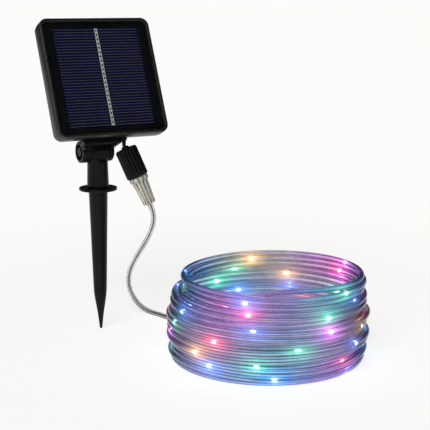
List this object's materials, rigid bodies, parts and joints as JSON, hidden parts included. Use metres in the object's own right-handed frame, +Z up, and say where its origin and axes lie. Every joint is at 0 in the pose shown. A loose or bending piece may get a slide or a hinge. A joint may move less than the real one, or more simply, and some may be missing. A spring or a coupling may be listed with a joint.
{
  "type": "solar string lights",
  "caption": "Clear light tube wound in a round coil, fed through a screwed connector from a square solar panel that tilts and swivels on a black ground stake.",
  "frame": {"origin": "tip of the ground stake, on the plane that the stake's tip and the coil rest on", "axes": "+Z up along the stake, -Y the way the panel faces, X along the tilt hinge; the coil stands towards +X and -Y"},
  "size_m": [0.2303, 0.2685, 0.2893],
  "materials": {
    "black_plastic": "satin black moulded ABS, very fine grain",
    "button_rubber": "dark grey silicone push button",
    "black_rubber": "black flexible PVC or rubber",
    "red_seal": "silicone O-ring",
    "panel_glass": "polished tempered glass",
    "silicon_cell": "dark blue polycrystalline silicon with fine silver fingers",
    "silver_busbar": "tinned ribbon",
    "black_backsheet": "black laminate behind the glass",
    "blackened_steel": "black zinc plated",
    "zinc_steel": "zinc plated",
    "nickel_contact": "nickel plated spring steel",
    "brass_pin": "bright",
    "green_board": "green solder mask",
    "chip_black": "black moulded package",
    "battery_wrap": "plain green shrink sleeve",
    "clear_socket": "clear moulding, slightly yellowed",
    "clear_tube": "clear flexible PVC tube",
    "cap_clear": "clear end cap",
    "copper_wire": "enamelled copper wire",
    "led_red": "lit red lamp",
    "led_green": "lit green lamp",
    "led_blue": "lit blue lamp",
    "led_yellow": "lit warm yellow lamp",
    "led_pink": "lit pink lamp"
  },
  "bodies": {
    "stake": {"ground_stake": "black_plastic", "light_tube_lead": "clear_tube", "light_tube_coil": "clear_tube", "light_tube_tail": "clear_tube", "tube_end_cap": "cap_clear"},
    "neck": {"neck_post": "black_plastic", "lead_plug": "black_plastic", "contact_pin_1": "brass_pin", "contact_pin_2": "brass_pin", "connector_seal": "red_seal", "tube_socket": "clear_socket"},
    "coupling_nut": {"coupling_nut": "black_plastic"},
    "head": {"tilt_bracket": "black_plastic", "hinge_bolt": "blackened_steel", "hinge_washer": "blackened_steel", "hinge_nut": "blackened_steel", "bracket_screw_1": "zinc_steel", "bracket_screw_2": "zinc_steel", "front_bezel": "black_plastic", "solar_glass": "panel_glass", "cell_busbar": "silver_busbar", "solar_cell": "silicon_cell", "cell_backsheet": "black_backsheet", "housing_seal": "black_rubber", "rear_shell": "black_plastic", "housing_screw_1": "zinc_steel", "housing_screw_2": "zinc_steel", "housing_screw_3": "zinc_steel", "housing_screw_4": "zinc_steel", "circuit_board": "green_board", "controller_chip": "chip_black", "power_switch": "chip_black", "mode_switch": "chip_black", "battery_cell": "battery_wrap", "battery_contact_plate": "nickel_contact", "battery_contact_spring": "nickel_contact", "lead_grommet": "black_rubber", "panel_lead": "black_rubber"},
    "power_button": {"power_button": "button_rubber"},
    "mode_button": {"mode_button": "button_rubber"}
  },
  "joints": [
    {"name": "neck_swivel", "type": "hinge", "parent": "stake", "child": "neck", "pos_m": [0, 0, 0.136], "axis": [0, 0, 1], "range_deg": [-60, 60], "deforming": ["light_tube_lead"]},
    {"name": "panel_tilt", "type": "hinge", "parent": "neck", "child": "head", "pos_m": [0, 0, 0.1695], "axis": [-1, 0, 0], "range_deg": [-12, 60], "deforming": ["panel_lead"]},
    {"name": "coupling_nut_turn", "type": "hinge", "parent": "neck", "child": "coupling_nut", "pos_m": [0.02719, -0.0157, 0.1586], "axis": [-0.3384, 0.1954, 0.9205], "continuous": true},
    {"name": "power_button_press", "type": "slide", "parent": "head", "child": "power_button", "axis": [0, -0.9225, 0.3859], "range_m": [0, 0.0008], "stiffness_N_per_m": 2000},
    {"name": "mode_button_press", "type": "slide", "parent": "head", "child": "mode_button", "axis": [0, -0.9225, 0.3859], "range_m": [0, 0.0008], "stiffness_N_per_m": 2000}
  ]
}
